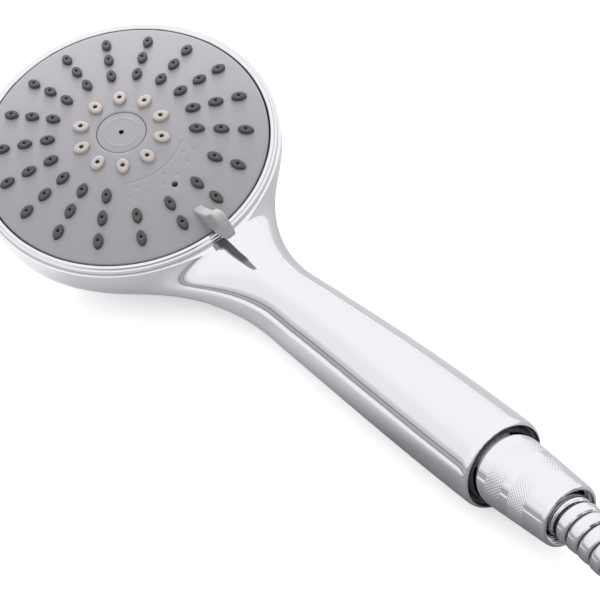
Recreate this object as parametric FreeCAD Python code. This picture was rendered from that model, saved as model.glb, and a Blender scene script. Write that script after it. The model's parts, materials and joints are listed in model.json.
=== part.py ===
import FreeCAD, Part
import math
import os
from FreeCAD import Vector, Rotation, Placement

# Handheld shower head with a selector lever, its cone nut and its metal hose.
# Millimetres. +X runs along the handle to the hose, +Z is up, the floor is Z = 0.
# The head's own pieces are drawn in head axes: z along the spray direction, with
# z = 0 at the top of the bezel, and then tilted and lifted into place.

# ---- clearances ----
GAP = 0.05                  # fixed pieces that seat on each other
RUN = 0.08                  # radial running fit
FREE = 0.3                  # pieces that pass each other
PAST = 99.0                 # reach of a cutting tool that passes everything
# ---- driving dimensions: head ----
HEAD_TILT = 12.5            # spray face leans towards the handle, degrees
HEAD_TO_END = 194.2         # head centre to the mouth of the handle
BOWL_R = 53.5
BOWL_WALL = 2.6
BOWL_WALL_Z = -5.0          # the side is upright down to here
BOWL_SIDE_R = 22.0          # round from the side to the back
BOWL_BACK_Z = -36.8
PARTING_Z = -2.1            # plane where the bezel sits on the shell
BEZEL_STEP = 1.2            # the bezel stands back from the bowl's side
BEZEL_WIDTH = 2.5
BEZEL_BAND = 0.8            # lower band outside the bezel's groove
BEZEL_DROP = 0.7
BEZEL_EDGE = 0.4            # chamfer of the bezel's top edges
BEZEL_SKIRT = 2.8
# Saddle over the handle's root, where the lever swings: steps out from the bowl's
# side and up from the parting plane.
SADDLE = [(0.1, -0.05), (12.1, 2.9), (28.1, 10.6)]
# ---- driving dimensions: inlet, nut and hose ----
THREAD_R = 10.4775          # G 1/2 pipe thread
THREAD_OUT = 3.0            # nipple stands this far out of the handle's mouth
THREAD_PITCH = 1.814
THREAD_GROOVE = 0.6
THREAD_DEPTH = 0.9
THREAD_GROOVES = 5
NIPPLE_FLANGE = 1.5225      # beyond the thread, behind the web
NIPPLE_TAIL_R = 8.0
NIPPLE_TAIL = 15.0
NIPPLE_BORE_R = 4.2
INSERT_R = 7.0              # bore that holds the flow restrictor and the filter
INSERT_DEPTH = 6.0
INSERT_RIM = 1.35
MESH_PITCH = 1.5
MESH_HOLE_R = 0.5
TUBE_R = 5.4
TUBE_BORE_R = 4.0
TUBE_DROP = 4.3             # the tube's tail below the handle's axis
TUBE_KNEE = 95.0            # head centre to the tube's bend
TUBE_END = 17.1             # tube's mouth, back from the handle's mouth
RISER_R = 5.4               # branch of the tube that meets the hub
RISER_BORE_R = 3.4
RISER_LOW = -25.5
NUT_OUT = 30.5
NUT_IN = 8.4
NUT_WALL = 2.2225
NUT_TAPER = 2.0
NUT_ROUND = 1.2
HOSE_R = 7.5
HOSE_IN = 4.5               # hose starts this far inside the nut's mouth
HOSE_PLAY = 1.2             # round the hose in the nut's mouth
WASHER_T = 2.0
WASHER_BORE_R = 6.0
WASHER_PLAY = 1.1775
FERRULE_FLANGE = 1.9
FERRULE_PLAY = 0.5775
FERRULE_BORE_R = 4.5
COIL_R = 75.0
COIL_LAYERS = 3
COIL_START = 234.0          # where the hose joins the coil, degrees from +X
COIL_SWEEP = 1033.0
COIL_ENTRY = 48.0           # degrees left free under the second turn
COIL_ENTRY_ROOM = 2.6
COIL_SPREAD = 0.2           # the turns bulge past the hose's radius
COIL_FLOOR = 0.4
FAR_NUT_WALL = 1.5225       # at the flats
FAR_NUT_LENGTH = 18.0
FAR_NUT_BACK = 4.0          # behind the ferrule's flange
FAR_NUT_PLAY = 0.6
FAR_NUT_LIFT = 0.9          # nut's corners above the turn they rest over
FAR_SLEEVE = 14.0           # from the hose's end to the far ferrule's flange
# ---- driving dimensions: handle ----
HANDLE_R = 15.5
HANDLE_WALL = 2.4
RECESS_PLAY = 0.7           # round the nut in the handle's mouth
RECESS_DEPTH = 9.0
WEB = 3.0
NECK_BLEND = 25.0
MOUTH_ROUND = 1.6
# Neck and handle outline: distance from head centre, half width, top and bottom height.
NECK = [(14.0, 44.0, 28.5, 4.5), (28.0, 38.5, 27.0, 4.5), (40.0, 28.5, 25.0, 4.0),
        (50.0, 21.3, 23.8, 3.0), (62.0, 15.8, 24.1, 1.3), (78.0, 12.7, 24.9, 0.4),
        (100.0, 13.2, 27.0, 0.3), (133.0, 14.5, 29.5, 0.3), (165.0, 15.3, 30.7, 0.1)]
NECK_STEP = 12.0
NECK_POINTS = 16
# The hose leaves the nut level, sinks as it bends aside and meets the coil on the floor.
# Steps from the hose's start: along X, along Y, and the height above the floor.
HOSE_ROUTE = [(0.0, 0.0, HANDLE_R), (24.0, 0.0, 15.5), (47.5, -5.0, 11.7), (69.4, -14.8, 7.8),
              (88.8, -28.9, 7.8)]
# ---- driving dimensions: spray face ----
FACE_PLAY = 0.4             # between the face and the bezel
FACE_CROWN = 6.8
PLATE = 2.0
PLATE_SKIRT = 1.7
MAT = 1.2
CAP_R = 8.5
CAP_T = 1.8
CAP_SKIRT = 0.9
CAP_PLAY = 0.15
CAP_TUBE = 1.75             # wall round the cap
LEDGE_LOW = 1.2             # the cap's seat in the face
LEDGE_T = 1.0
LEDGE_IN = 1.0
RING_RADII = [25.7, 33.85, 42.0]
SPOKES = 18
SHORT_SPOKES = 4            # spokes beside the handle that lack the innermost nozzle
NOZZLE_LENGTH = 5.4
NOZZLE_WIDTH = 3.3
NOZZLE_PROUD = 1.5
NOZZLE_BORE_R = 0.55
CENTER_NOZZLES = 10
CENTER_NOZZLE_R = 14.45
CENTER_NOZZLE_LENGTH = 5.9
CENTER_NOZZLE_WIDTH = 4.4
CENTER_NOZZLE_PROUD = 1.3
CENTER_BORE_R = 0.8
GROOVE_R = 21.0
GROOVE_WIDTH = 0.7
GROOVE_DEPTH = 0.4
DIMPLE_R = 0.9
DIMPLE_GROUPS = (-26.0, 0.0, 26.0)
DIMPLES = ((23.3, 0.0), (26.3, 6.3), (26.3, -6.3))      # radius, degrees beside the middle
VENT_AT = 28.6
VENT_R = 1.1
LEVER_W = 3.8
# Side view of the lever in head axes, from the face over the crest to the outer tip,
# and back under it.
LEVER_START = 40.0
LEVER_CREST = [(44.4, 4.7), (48.3, 8.0), (52.0, 11.8), (54.6, 12.2), (57.4, 9.4), (59.5, 5.2)]
LEVER_UNDER = [(58.6, 4.3), (53.2, 1.4)]
FOOT_AT = 41.6
FOOT_LENGTH = 5.4
FOOT_WIDTH = 2.4
FOOT_DEPTH = 1.4
# ---- driving dimensions: valve inside the head ----
SELECT_TURN = 37.0          # lever travel each way, degrees
DISC_TOP = -4.6
DISC = 2.0
DISC_RIM = 1.8              # ring walls that carry the mats
HUB_R = 20.12
HUB_FLOOR = -14.5
HUB_FLANGE = 2.0
COLLAR = 2.2
BOSS_TOP = -1.0
BOSS_WALL = 1.3
PORT_AT = 13.6
PORT_R = 2.8
DUCT_LENGTH = 12.6
DUCT_WIDTH = 5.6
DUCT_HEIGHT = 2.4
DUCT_WALL = 1.0
SEAL_R = 4.35
SEAL_BORE_R = 2.6
SEAL_LOW = -9.3
POCKET_LOW = -11.5
SPIGOT_R = 3.3
STOP_HALF = 4.0             # half width of a stop lug, degrees
STOP_PLAY = 0.8
STOP_LUG = 2.2
LUG_RISE = 3.2
DETENT_R = 2.2
DETENT_TIP_R = 0.9
DETENT_LOW = -10.6
NOTCH_R = 1.7
NOTCH_DEPTH = 1.0
TRACK_HALF = 2.0            # groove that the detent's tip runs in
TRACK_DEPTH = 0.75
TRACK_OVER = 9.0            # the track runs this far past the last notch, degrees
O_RING_R = 0.8
O_RING_Z = -10.0
O_RING_GROOVE = 1.75
O_RING_GROOVE_HALF = 1.1
O_RING_SEAT = 0.02
SCREW_EAR_R = 4.2
SCREW_EAR = 4.6             # hub screws stand this far outside the collar
HUB_SCREWS = (60.0, 120.0, 240.0, 300.0)
HUB_SCREW_R = 1.2
HUB_SCREW_LENGTH = 9.0
HUB_SCREW_HEAD = (2.9, 1.9)         # head radius and height
HUB_SCREW_HOLE_R = 1.7
POST_R = 3.6
POST_BORE = 11.0
CENTER_SCREW_R = 1.9
CENTER_SCREW_LENGTH = 6.3
CENTER_SCREW_HEAD = (4.4, 2.2)
SCREW_SLOT = 0.8
SCREW_WASHER_R = 6.0
SCREW_WASHER_T = 1.0
# Springs: mean radius, wire, height, turns.
PORT_SPRING = (3.6, 0.5, 2.1, 2)
DETENT_SPRING = (1.55, 0.35, 1.9, 2.5)

Z = Vector(0, 0, 1)
X = Vector(1, 0, 0)
BEZEL_R = BOWL_R - BEZEL_STEP
BEZEL_BORE_R = BEZEL_R - BEZEL_WIDTH
FACE_R = BEZEL_BORE_R - FACE_PLAY
DISC_FLOOR = DISC_TOP - DISC
HUB_TOP = DISC_FLOOR - 0.2
COLLAR_R = HUB_R + RUN
COLLAR_OUT = COLLAR_R + COLLAR
COLLAR_FLOOR = HUB_FLOOR + HUB_FLANGE
FLANGE_TOP = COLLAR_FLOOR - FREE
SPIGOT_TOP = BOSS_TOP + 0.1
INNER_WALL_R = GROOVE_R - 2.0       # ring wall between the two mats
MAT_EDGE = 0.4                      # each mat ends this far from the wall's middle
NUT_BIG_R = THREAD_R + NUT_WALL
NUT_SMALL_R = NUT_BIG_R - NUT_TAPER
NUT_BORE_R = HOSE_R + HOSE_PLAY
FLANGE_R = THREAD_R - FERRULE_PLAY
WASHER_R = THREAD_R - WASHER_PLAY
RECESS_R = NUT_BIG_R + RECESS_PLAY
FAR_CORNER_R = (THREAD_R + FAR_NUT_WALL) / math.cos(math.radians(30))
SPHERE_R = (FACE_R ** 2 + FACE_CROWN ** 2) / (2 * FACE_CROWN)
SPHERE_Z = FACE_CROWN - SPHERE_R
TILT = math.radians(HEAD_TILT)


def back_arc():
    """Radius and centre height of the shallow back of the bowl."""
    flat = BOWL_R - BOWL_SIDE_R
    drop = BOWL_WALL_Z - BOWL_BACK_Z
    radius = (flat ** 2 + drop ** 2 - BOWL_SIDE_R ** 2) / (2 * (drop - BOWL_SIDE_R))
    return radius, BOWL_BACK_Z + radius


BACK_R, BACK_Z = back_arc()
AXIS_Z = HANDLE_R
HEAD_Z = BACK_R - BACK_Z * math.cos(TILT)
BOWL_REACH = (BOWL_R - BOWL_SIDE_R) * math.cos(TILT) - BOWL_WALL_Z * math.sin(TILT) + BOWL_SIDE_R
HEAD_X = (BOWL_REACH - HEAD_TO_END - NUT_OUT) / 2
END_X = HEAD_X + HEAD_TO_END
HOSE_X = END_X + NUT_OUT - HOSE_IN
HEAD = Placement(Vector(HEAD_X, 0, HEAD_Z), Rotation(Vector(0, 1, 0), HEAD_TILT))


# ---- helpers ----
def in_head(shape):
    """Move a shape from head axes into the object's frame."""
    moved = shape.copy()
    moved.Placement = HEAD.multiply(moved.Placement)
    return moved


def polar(radius, degrees, z=0.0):
    angle = math.radians(degrees)
    return Vector(radius * math.cos(angle), radius * math.sin(angle), z)


def disc(radius, low, high, at=Vector(0, 0, 0)):
    return Part.makeCylinder(radius, high - low, at + Z * low)


def ring(outer, inner, low, high):
    return disc(outer, low, high).cut(disc(inner, low - 1, high + 1))


def rod(radius, start, end):
    """Cylinder along the handle's axis, between two X positions."""
    return Part.makeCylinder(radius, end - start, Vector(start, 0, AXIS_Z), X)


def pipe(outer, inner, start, end):
    return rod(outer, start, end).cut(rod(inner, start - 1, end + 1))


def ball(extra):
    """Sphere of the spray face, grown by extra."""
    return Part.makeSphere(SPHERE_R + extra, Vector(0, 0, SPHERE_Z))


def under_face(shape, extra):
    return shape.common(ball(extra))


def face_z(radius, extra=0.0):
    return SPHERE_Z + math.sqrt((SPHERE_R + extra) ** 2 - radius ** 2)


def fuse(shapes):
    first = shapes[0]
    return first.fuse(shapes[1:]).removeSplitter() if len(shapes) > 1 else first


def turned(shape, degrees):
    copy = shape.copy()
    copy.rotate(Vector(0, 0, 0), Z, degrees)
    return copy


def revolved(points):
    """Solid of a closed outline in the XZ plane, turned about Z."""
    face = Part.Face(Part.makePolygon(points + [points[0]]))
    return face.revolve(Vector(0, 0, 0), Z, 360)


def sector(outer, inner, low, high, degrees, half):
    """Part of a ring, half degrees each side of a direction."""
    piece = ring(outer, inner, low, high)
    far = 2 * outer
    corner = [Vector(0, 0, low), polar(far, degrees - half, low), polar(far, degrees + half, low)]
    wedge = Part.Face(Part.makePolygon(corner + [corner[0]])).extrude(Z * (high - low))
    return piece.common(wedge)


def lens(length, width, low, high):
    """Upright prism with a lens outline, long axis along X."""
    a = Vector(-length / 2, 0, low)
    b = Vector(length / 2, 0, low)
    arcs = [Part.Arc(a, Vector(0, -width / 2, low), b).toShape(),
            Part.Arc(b, Vector(0, width / 2, low), a).toShape()]
    return Part.Face(Part.Wire(arcs)).extrude(Z * (high - low))


def on_circle(shape, radius, degrees):
    copy = shape.copy()
    copy.translate(Vector(radius, 0, 0))
    return turned(copy, degrees)


def dark_places():
    """Radius and direction of each outer nozzle. Spokes straddle the handle."""
    places = []
    step = 360.0 / SPOKES
    for spoke in range(SPOKES):
        direction = step * (spoke + 0.5)
        beside = min(direction, 360.0 - direction) < step * SHORT_SPOKES / 2
        for radius in RING_RADII[1 if beside else 0:]:
            places.append((radius, direction))
    return places


def light_places():
    step = 360.0 / CENTER_NOZZLES
    return [(CENTER_NOZZLE_R, step * i) for i in range(CENTER_NOZZLES)]


def spring(radius, wire, height, turns):
    """Compression spring standing on z = 0, ends touching low and high."""
    pitch = (height - wire) / turns
    helix = Part.makeHelix(pitch, pitch * turns, radius)
    start = Part.Wire(Part.makeCircle(wire / 2, Vector(radius, 0, 0), Vector(0, 1, 0)))
    coil = Part.Wire(helix).makePipeShell([start], True, True)
    coil.translate(Z * (wire / 2))
    return coil


# ---- shell and bezel ----
def bowl(inset, top):
    radius = BOWL_R - inset
    side = BOWL_SIDE_R - inset
    back = BACK_R - inset
    start = BOWL_R - BOWL_SIDE_R
    slope = math.atan2(BOWL_WALL_Z - BACK_Z, start)
    join = Vector(back * math.cos(slope), 0, BACK_Z + back * math.sin(slope))
    middle = Vector(start + side * math.cos(slope / 2), 0, BOWL_WALL_Z + side * math.sin(slope / 2))
    halfway = (slope - math.pi / 2) / 2
    low = Vector(0, 0, BACK_Z - back)
    edges = [Part.makeLine(Vector(0, 0, top), Vector(radius, 0, top)),
             Part.makeLine(Vector(radius, 0, top), Vector(radius, 0, BOWL_WALL_Z)),
             Part.Arc(Vector(radius, 0, BOWL_WALL_Z), middle, join).toShape(),
             Part.Arc(join, Vector(back * math.cos(halfway), 0, BACK_Z + back * math.sin(halfway)),
                      low).toShape(),
             Part.makeLine(low, Vector(0, 0, top))]
    return Part.Face(Part.Wire(edges)).revolve(Vector(0, 0, 0), Z, 360)


def neck_section(x, half_width, top, bottom, inset):
    steps = 16
    middle = (top + bottom) / 2
    half_height = (top - bottom) / 2 - inset
    points = []
    for step in range(steps):
        angle = 2 * math.pi * step / steps
        points.append(Vector(x, (half_width - inset) * math.sin(angle),
                             middle + half_height * math.cos(angle)))
    curve = Part.BSplineCurve()
    curve.interpolate(Points=points, PeriodicFlag=True)
    return Part.Wire(curve.toShape())


def neck(inset, end):
    """Handle from inside the head to an X position, as one smooth loft."""
    stations = NECK + [(HEAD_TO_END, HANDLE_R, 2 * HANDLE_R, 0.0)]
    along = [row[0] for row in stations]
    curves = []
    for column in (1, 2, 3):
        curve = Part.BSplineCurve()
        curve.interpolate(Points=[Vector(row[0], row[column], 0) for row in stations],
                          Parameters=along)
        curves.append(curve)
    reach = end - HEAD_X
    count = round((reach - along[0]) / NECK_STEP)
    sections = []
    for step in range(count + 1):
        at = along[0] + (reach - along[0]) * step / count
        half_width, top, bottom = [curve.value(at).y for curve in curves]
        sections.append(neck_section(HEAD_X + at, half_width, top, bottom, inset))
    return Part.makeLoft(sections, True, False)


def above_rim():
    """Everything over the parting plane, and over the saddle where the lever swings."""
    near, middle, far = [Vector(BOWL_R + x, 0, PARTING_Z + z) for x, z in SADDLE]
    axis_low = Vector(0, 0, PARTING_Z)
    step = Vector(near.x, 0, PARTING_Z)
    far_top = Vector(far.x, 0, PAST)
    axis_top = Vector(0, 0, PAST)
    edges = [Part.makeLine(axis_low, step), Part.makeLine(step, near),
             Part.Arc(near, middle, far).toShape(), Part.makeLine(far, far_top),
             Part.makeLine(far_top, axis_top), Part.makeLine(axis_top, axis_low)]
    return Part.Face(Part.Wire(edges)).revolve(Vector(0, 0, 0), Z, 360)


def is_circle(edge):
    try:
        return isinstance(edge.Curve, Part.Circle)
    except TypeError:
        return True


def screw_hole(place):
    """Pilot hole of a hub screw, tight on its shank."""
    return disc(HUB_SCREW_R + GAP, HUB_FLOOR - POST_BORE, HUB_FLOOR + 1, place)


def handle_shell():
    outer = in_head(bowl(0, 20)).fuse(neck(0, END_X))
    seam = [e for e in outer.Edges if 0.4 * BOWL_R < e.CenterOfMass.x - HEAD_X < 1.5 * BOWL_R
            and not is_circle(e) and e.Length < 200]
    outer = outer.makeFillet(NECK_BLEND, seam)
    mouth = [e for e in outer.Edges if abs(e.BoundBox.XMin - END_X) < 0.1
             and e.Length > HANDLE_R]
    outer = outer.makeFillet(MOUTH_ROUND, mouth)
    outer = outer.cut(in_head(above_rim()))
    hollow = in_head(bowl(BOWL_WALL, 40))
    shell = outer.cut(hollow).cut(neck(HANDLE_WALL, END_X - RECESS_DEPTH - WEB))
    shell = shell.cut(rod(RECESS_R, END_X - RECESS_DEPTH, END_X + 1))
    shell = shell.cut(rod(THREAD_R + GAP, END_X - RECESS_DEPTH - WEB - 1, END_X))
    posts = []
    for place in hub_screw_places():
        post = disc(POST_R, BOWL_BACK_Z, HUB_FLOOR - GAP, place).common(bowl(0.5, 0))
        posts.append(in_head(post.cut(screw_hole(place))))
    return shell.fuse(posts)


def bezel_ring():
    groove_r = BEZEL_R - BEZEL_BAND
    edge = BEZEL_EDGE
    skirt_r = BOWL_R - BOWL_WALL - GAP
    foot_z = PARTING_Z + GAP
    skirt_z = PARTING_Z - BEZEL_SKIRT
    outline = [(BEZEL_BORE_R, -edge), (BEZEL_BORE_R + edge, 0), (groove_r - edge, 0),
               (groove_r, -BEZEL_DROP), (BEZEL_R - edge, -BEZEL_DROP),
               (BEZEL_R, -BEZEL_DROP - edge), (BEZEL_R, foot_z), (skirt_r, foot_z),
               (skirt_r, skirt_z), (BEZEL_BORE_R, skirt_z)]
    return in_head(revolved([Vector(x, 0, z) for x, z in outline]))


# ---- spray face ----
def nozzle_holes(places, length, width, grow):
    hole = lens(length + 2 * grow, width + 2 * grow, -8, 12)
    return [on_circle(hole, r, a) for r, a in places]


def spray_plate():
    cap_hole_r = CAP_R + CAP_PLAY
    cover = under_face(disc(FACE_R, -12, 12), 0).cut(ball(-PLATE))
    skirt = under_face(ring(FACE_R, FACE_R - PLATE_SKIRT, DISC_FLOOR - 0.2, 6), -PLATE / 2)
    tube = under_face(ring(cap_hole_r + CAP_TUBE, cap_hole_r, DISC_TOP + GAP, 9), -PLATE / 2)
    ledge = ring(cap_hole_r + CAP_TUBE / 2, CAP_R - LEDGE_IN, LEDGE_LOW, LEDGE_LOW + LEDGE_T)
    plate = fuse([cover.cut(disc(cap_hole_r, -12, 12)), skirt, tube, ledge])
    cuts = nozzle_holes(dark_places(), NOZZLE_LENGTH, NOZZLE_WIDTH, GAP)
    cuts += nozzle_holes(light_places(), CENTER_NOZZLE_LENGTH, CENTER_NOZZLE_WIDTH, GAP)
    cuts.append(sector(GROOVE_R + GROOVE_WIDTH / 2, GROOVE_R - GROOVE_WIDTH / 2,
                       face_z(GROOVE_R) - GROOVE_DEPTH, 12, 0, SELECT_TURN))
    for middle in DIMPLE_GROUPS:
        for radius, offset in DIMPLES:
            at = polar(radius, middle + offset, face_z(radius) + DIMPLE_R / 2)
            cuts.append(Part.makeSphere(DIMPLE_R, at))
    cuts.append(disc(VENT_R, -12, 12, Vector(VENT_AT, 0, 0)))
    cuts.append(lever_foot(GAP))
    return in_head(plate.cut(cuts))


def mat(places, outer, inner, length, width, proud, bore_r):
    sheet = ring(outer, inner, -12, 12).common(ball(-PLATE - 2 * GAP)).cut(ball(-PLATE - MAT))
    body = lens(length, width, -8, 12)
    tips = [on_circle(body, r, a) for r, a in places]
    tips = Part.makeCompound(tips).common(ball(proud)).cut(ball(-PLATE - MAT / 2))
    whole = sheet.fuse(tips.Solids)
    bores = [disc(bore_r, -12, 14, polar(r, a)) for r, a in places]
    return in_head(whole.cut(bores))


def nozzle_mat():
    sheet = mat(dark_places(), FACE_R - PLATE_SKIRT - 0.2, INNER_WALL_R + MAT_EDGE,
                NOZZLE_LENGTH, NOZZLE_WIDTH, NOZZLE_PROUD, NOZZLE_BORE_R)
    vent = in_head(disc(VENT_R, -12, 12, Vector(VENT_AT, 0, 0)))
    return sheet.cut(vent).cut(in_head(lever_foot(FREE)))


def center_nozzle_ring():
    return mat(light_places(), INNER_WALL_R - MAT_EDGE, CAP_R + CAP_PLAY + CAP_TUBE + 0.2,
               CENTER_NOZZLE_LENGTH, CENTER_NOZZLE_WIDTH, CENTER_NOZZLE_PROUD, CENTER_BORE_R)


def center_cap():
    seat = LEDGE_LOW + LEDGE_T + GAP
    top = under_face(disc(CAP_R, -12, 12), 0).cut(ball(-CAP_T))
    skirt = under_face(ring(CAP_R, CAP_R - CAP_SKIRT, seat, 9), -CAP_T / 2)
    return in_head(fuse([top, skirt]).cut(disc(NOZZLE_BORE_R, -12, 12)))


def lever_outline():
    """Side view of the lever in head axes: a wave that rises over the bezel."""
    start = Vector(LEVER_START, 0, face_z(LEVER_START) + FREE)
    crest = [start] + [Vector(x, 0, z) for x, z in LEVER_CREST]
    curve = Part.BSplineCurve()
    curve.interpolate(crest)
    low = [crest[-1]] + [Vector(x, 0, z) for x, z in LEVER_UNDER]
    low += [Vector(FACE_R + 0.2, 0, 0.5), Vector(FACE_R - 1.0, 0, -1.0),
            Vector(LEVER_START, 0, -1.0), start]
    edges = [curve.toShape()]
    edges += [Part.makeLine(a, b) for a, b in zip(low[:-1], low[1:])]
    return Part.Face(Part.Wire(edges))


def lever_foot(grow):
    length = FOOT_LENGTH + 2 * grow
    width = FOOT_WIDTH + 2 * grow
    low = face_z(FOOT_AT + FOOT_LENGTH) - PLATE - FOOT_DEPTH
    return Part.makeBox(length, width, 9, Vector(FOOT_AT - grow, -width / 2, low))


def selector_lever():
    side = lever_outline()
    side.translate(Vector(0, -LEVER_W / 2, 0))
    body = side.extrude(Vector(0, LEVER_W, 0))
    foot = lever_foot(0).common(ball(1)).cut(ball(-PLATE - MAT))
    body = body.cut(ball(GAP / 2))
    return in_head(body.fuse(foot))


# ---- valve ----
def distribution_plate():
    top = ball(-PLATE - MAT - 2 * GAP)
    outer_r = FACE_R - PLATE_SKIRT - GAP
    low = DISC_TOP - 0.5
    inner = ring(INNER_WALL_R + DISC_RIM / 2, INNER_WALL_R - DISC_RIM / 2, low, 8)
    lug_r = COLLAR_OUT + STOP_LUG
    parts = [disc(outer_r, DISC_FLOOR, DISC_TOP), disc(CAP_R - BOSS_WALL, DISC_FLOOR, BOSS_TOP),
             ring(COLLAR_OUT, COLLAR_R, COLLAR_FLOOR, DISC_FLOOR + 0.5),
             sector(lug_r, COLLAR_R + 1, COLLAR_FLOOR, DISC_FLOOR - 2.4, 180, STOP_HALF),
             ring(outer_r, outer_r - DISC_RIM, low, 8).common(top), inner.common(top)]
    start = CAP_R + CAP_PLAY + CAP_TUBE + 0.2
    width = DUCT_WIDTH + 2 * DUCT_WALL
    channel = Part.makeBox(DUCT_LENGTH, width, DUCT_HEIGHT + DUCT_WALL + 0.2,
                           Vector(start, -width / 2, DISC_TOP - 0.2))
    duct = Part.makeBox(DUCT_LENGTH, DUCT_WIDTH, DUCT_HEIGHT,
                        Vector(start + 0.9, -DUCT_WIDTH / 2, DISC_TOP - 0.2))
    turns = (0.0, -SELECT_TURN)
    plate = fuse(parts + [turned(channel, a) for a in turns])
    cuts = [turned(duct, a) for a in turns]
    notches = (-SELECT_TURN, 0.0, SELECT_TURN)
    cuts += [disc(PORT_R, -12, DISC_TOP + 0.5, polar(PORT_AT, a)) for a in notches]
    cuts.append(disc(1.2, DISC_TOP, 0, polar(PORT_AT, -SELECT_TURN)))
    cuts.append(disc(SPIGOT_R + RUN, -12, 2))
    cuts.append(sector(PORT_AT + TRACK_HALF, PORT_AT - TRACK_HALF, DISC_FLOOR - 1,
                       DISC_FLOOR + TRACK_DEPTH, 180, SELECT_TURN + TRACK_OVER))
    cuts += [disc(NOTCH_R, DISC_FLOOR - 1, DISC_FLOOR + NOTCH_DEPTH, polar(PORT_AT, 180 + a))
             for a in notches]
    return in_head(plate.cut(cuts))


def hub_screw_places():
    return [polar(COLLAR_OUT + SCREW_EAR, a) for a in HUB_SCREWS]


def valve_hub():
    stop = SELECT_TURN + STOP_PLAY + 2 * STOP_HALF
    lug_r = COLLAR_OUT + STOP_LUG
    parts = [disc(HUB_R, HUB_FLOOR, HUB_TOP), disc(SPIGOT_R, HUB_TOP - 1, SPIGOT_TOP),
             disc(lug_r + 0.2, HUB_FLOOR, FLANGE_TOP)]
    parts += [sector(lug_r, COLLAR_OUT + 0.4, HUB_FLOOR, FLANGE_TOP + LUG_RISE,
                     180 + side * stop, STOP_HALF) for side in (-1, 1)]
    parts += [disc(SCREW_EAR_R, HUB_FLOOR, FLANGE_TOP, place) for place in hub_screw_places()]
    hub = fuse(parts)
    port = Vector(PORT_AT, 0, 0)
    pin = Vector(-PORT_AT, 0, 0)
    cuts = [ring(HUB_R + 1, HUB_R - O_RING_GROOVE, O_RING_Z - O_RING_GROOVE_HALF,
                 O_RING_Z + O_RING_GROOVE_HALF),
            disc(CENTER_SCREW_R + GAP, HUB_TOP - 5, 0),
            disc(SEAL_R + 2 * GAP, POCKET_LOW, 0, port),
            disc(SEAL_BORE_R + 0.4, HUB_FLOOR - 1, 0, port),
            disc(RISER_R + GAP, HUB_FLOOR - 1, COLLAR_FLOOR, port),
            disc(DETENT_R + RUN, HUB_FLOOR + 1.2, 0, pin)]
    cuts += [disc(HUB_SCREW_HOLE_R, HUB_FLOOR - 1, 0, place) for place in hub_screw_places()]
    return in_head(hub.cut(cuts))


def hub_o_ring():
    major = HUB_R - O_RING_GROOVE + O_RING_R + O_RING_SEAT
    return in_head(Part.makeTorus(major, O_RING_R, Vector(0, 0, O_RING_Z)))


def port_seal():
    cup = disc(SEAL_R, SEAL_LOW, DISC_FLOOR - GAP).cut(disc(SEAL_BORE_R, SEAL_LOW - 1, 0))
    cup.translate(Vector(PORT_AT, 0, 0))
    return in_head(cup)


def port_spring():
    coil = spring(*PORT_SPRING)
    coil.translate(Vector(PORT_AT, 0, POCKET_LOW + GAP))
    return in_head(coil)


def detent_pin():
    neck_z = HUB_TOP - 0.1
    body = disc(DETENT_R, DETENT_LOW, neck_z)
    cone = Part.makeCone(DETENT_R, DETENT_TIP_R, DISC_FLOOR + 0.5 - neck_z, Z * neck_z)
    pin = fuse([body, cone])
    pin.translate(Vector(-PORT_AT, 0, 0))
    return in_head(pin)


def detent_spring():
    coil = spring(*DETENT_SPRING)
    coil.translate(Vector(-PORT_AT, 0, HUB_FLOOR + 1.2 + GAP))
    return in_head(coil)


def cross_screw(shank_r, length, head):
    """Screw pointing down, head seated on z = 0."""
    head_r, head_h = head
    screw = fuse([disc(shank_r, -length, 0.2), disc(head_r, 0, head_h)])
    slot = Part.makeBox(head_r * 1.2, SCREW_SLOT, 2,
                        Vector(-head_r * 0.6, -SCREW_SLOT / 2, head_h * 0.45))
    return screw.cut([slot, turned(slot, 90)])


def center_screw():
    screw = cross_screw(CENTER_SCREW_R, CENTER_SCREW_LENGTH, CENTER_SCREW_HEAD)
    screw.translate(Z * (SPIGOT_TOP + SCREW_WASHER_T + 2 * GAP))
    return in_head(screw)


def screw_washer():
    low = SPIGOT_TOP + GAP
    return in_head(ring(SCREW_WASHER_R, CENTER_SCREW_R + 0.1, low, low + SCREW_WASHER_T))


def hub_screws():
    screws = []
    for place in hub_screw_places():
        screw = cross_screw(HUB_SCREW_R, HUB_SCREW_LENGTH, HUB_SCREW_HEAD)
        screw.translate(place + Z * (FLANGE_TOP + GAP))
        screws.append(in_head(screw))
    return Part.makeCompound(screws)


# ---- water path in the handle ----
def waterway_tube():
    tail = Vector(HEAD_X + 2, 0, AXIS_Z - TUBE_DROP)
    knee = Vector(HEAD_X + TUBE_KNEE, 0, AXIS_Z)
    mouth = Vector(END_X - TUBE_END, 0, AXIS_Z)
    port = Vector(PORT_AT, 0, 0)

    def tube(radius, start):
        straight = Part.makeCylinder(radius, (mouth - knee).Length, knee, X)
        slope = knee - start
        sloped = Part.makeCylinder(radius, slope.Length, start, slope)
        return [straight, sloped, Part.makeSphere(radius, knee)]

    outer = tube(TUBE_R, tail)
    outer.append(in_head(disc(RISER_R, RISER_LOW, COLLAR_FLOOR - GAP, port)))
    inner = tube(TUBE_BORE_R, tail + (knee - tail).normalize() * 2.0)
    inner.append(rod(TUBE_BORE_R, mouth.x - 1, mouth.x + 1))
    inner.append(in_head(disc(RISER_BORE_R, RISER_LOW, 0, port)))
    return fuse(outer).cut(inner)


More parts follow.
